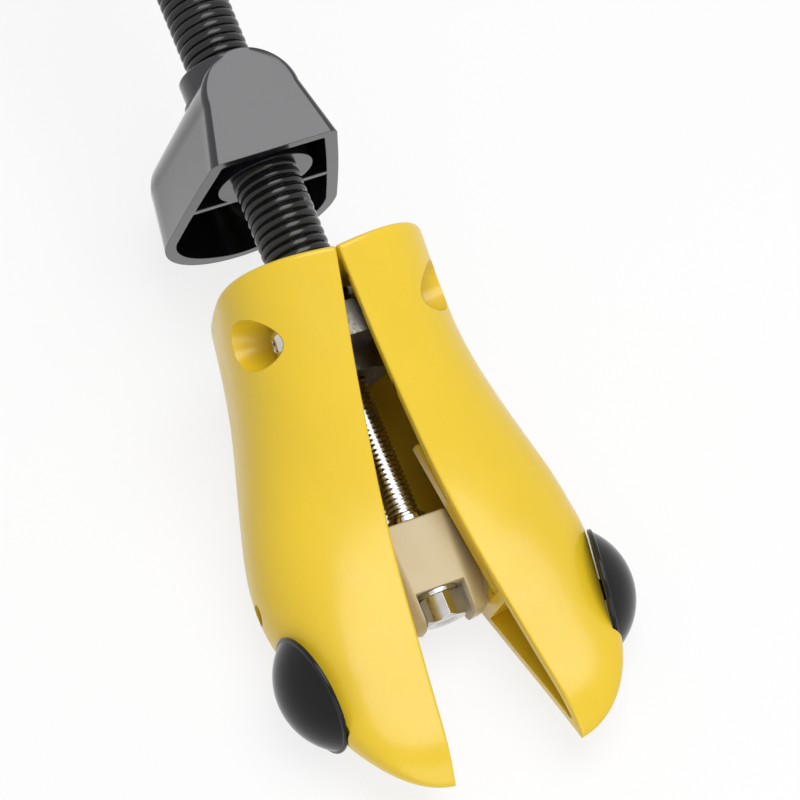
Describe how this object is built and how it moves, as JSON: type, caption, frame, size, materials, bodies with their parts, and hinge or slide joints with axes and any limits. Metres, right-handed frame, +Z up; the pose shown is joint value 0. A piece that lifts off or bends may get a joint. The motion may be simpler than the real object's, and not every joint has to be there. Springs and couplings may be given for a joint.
{
  "type": "shoe stretcher",
  "caption": "Two-way shoe stretcher: yellow split toe halves on a black threaded tube, heel block behind, cream wedge on a steel spindle between the halves.",
  "frame": {"origin": "on the table, under the middle of the part between the toe's tip and the handle's back", "axes": "+X towards the toe, +Y towards the left half, +Z up from the table"},
  "size_m": [0.347, 0.102, 0.1222],
  "materials": {
    "toe_half_left": "glossy moulded yellow plastic with faint moulding flow marks",
    "toe_half_right": "glossy moulded yellow plastic with faint moulding flow marks",
    "bunion_plug_left": "glossy black moulded plastic",
    "bunion_plug_right": "glossy black moulded plastic",
    "tie_screw_left": "bright zinc plated steel",
    "tie_screw_right": "bright zinc plated steel",
    "tie_spring_left": "spring steel wire",
    "tie_spring_right": "spring steel wire",
    "neck_hub": "zinc plated steel, slightly dull",
    "hub_set_screw": "bright zinc plated steel",
    "spindle_nut": "zinc plated steel, slightly dull",
    "screw_tube": "glossy black moulded plastic",
    "tube_end_cap": "glossy black moulded plastic",
    "heel_block": "glossy black moulded plastic",
    "spindle_rod": "bright zinc plated steel",
    "spindle_collar": "bright zinc plated steel",
    "wedge_block": "matt cream moulded plastic with faint scuffs",
    "wedge_bolt": "bright zinc plated steel",
    "bolt_washer": "bright zinc plated steel",
    "handle_boss": "glossy black moulded plastic",
    "handle_bar": "bright zinc plated steel",
    "handle_cap_left": "matt black rubber grip",
    "handle_cap_right": "matt black rubber grip",
    "handle_pin": "bright zinc plated steel"
  },
  "bodies": {
    "frame": {"neck_hub": "neck_hub", "hub_set_screw": "hub_set_screw", "spindle_nut": "spindle_nut", "screw_tube": "screw_tube", "tube_end_cap": "tube_end_cap", "tie_screw_left": "tie_screw_left", "tie_screw_right": "tie_screw_right", "tie_spring_left": "tie_spring_left", "tie_spring_right": "tie_spring_right"},
    "heel": {"heel_block": "heel_block"},
    "half_left": {"toe_half_left": "toe_half_left", "bunion_plug_left": "bunion_plug_left"},
    "half_right": {"toe_half_right": "toe_half_right", "bunion_plug_right": "bunion_plug_right"},
    "wedge": {"wedge_block": "wedge_block"},
    "spindle": {"spindle_rod": "spindle_rod", "spindle_collar": "spindle_collar", "wedge_bolt": "wedge_bolt", "bolt_washer": "bolt_washer", "handle_boss": "handle_boss", "handle_bar": "handle_bar", "handle_cap_left": "handle_cap_left", "handle_cap_right": "handle_cap_right", "handle_pin": "handle_pin"}
  },
  "joints": [
    {"name": "wedge_slide", "type": "slide", "parent": "frame", "child": "wedge", "axis": [0.9489, 0, -0.3156], "range_m": [-0.037, 0.003]},
    {"name": "spindle_spin", "type": "hinge", "parent": "wedge", "child": "spindle", "pos_m": [0.04369, 0, 0.04222], "axis": [0.9489, 0, -0.3156], "range_deg": [-9722, 788]},
    {"name": "half_left_swing", "type": "hinge", "parent": "frame", "child": "half_left", "pos_m": [0.04369, 0, 0.04222], "axis": [0.3156, 0, 0.9489], "range_deg": [-7.3, 0.6], "deforming": ["tie_spring_left"]},
    {"name": "half_right_swing", "type": "hinge", "parent": "frame", "child": "half_right", "pos_m": [0.04369, 0, 0.04222], "axis": [0.3156, 0, 0.9489], "range_deg": [-0.6, 7.3], "deforming": ["tie_spring_right"]},
    {"name": "heel_travel", "type": "slide", "parent": "frame", "child": "heel", "axis": [0.9489, 0, -0.3156], "range_m": [-0.115, 0.028]}
  ],
  "couplings": [
    {"joint": "wedge_slide", "follows": "spindle_spin", "m_per_rad": 0.00021804},
    {"joint": "half_left_swing", "follows": "spindle_spin", "ratio": 0.00075083},
    {"joint": "half_right_swing", "follows": "spindle_spin", "ratio": -0.00075083}
  ]
}
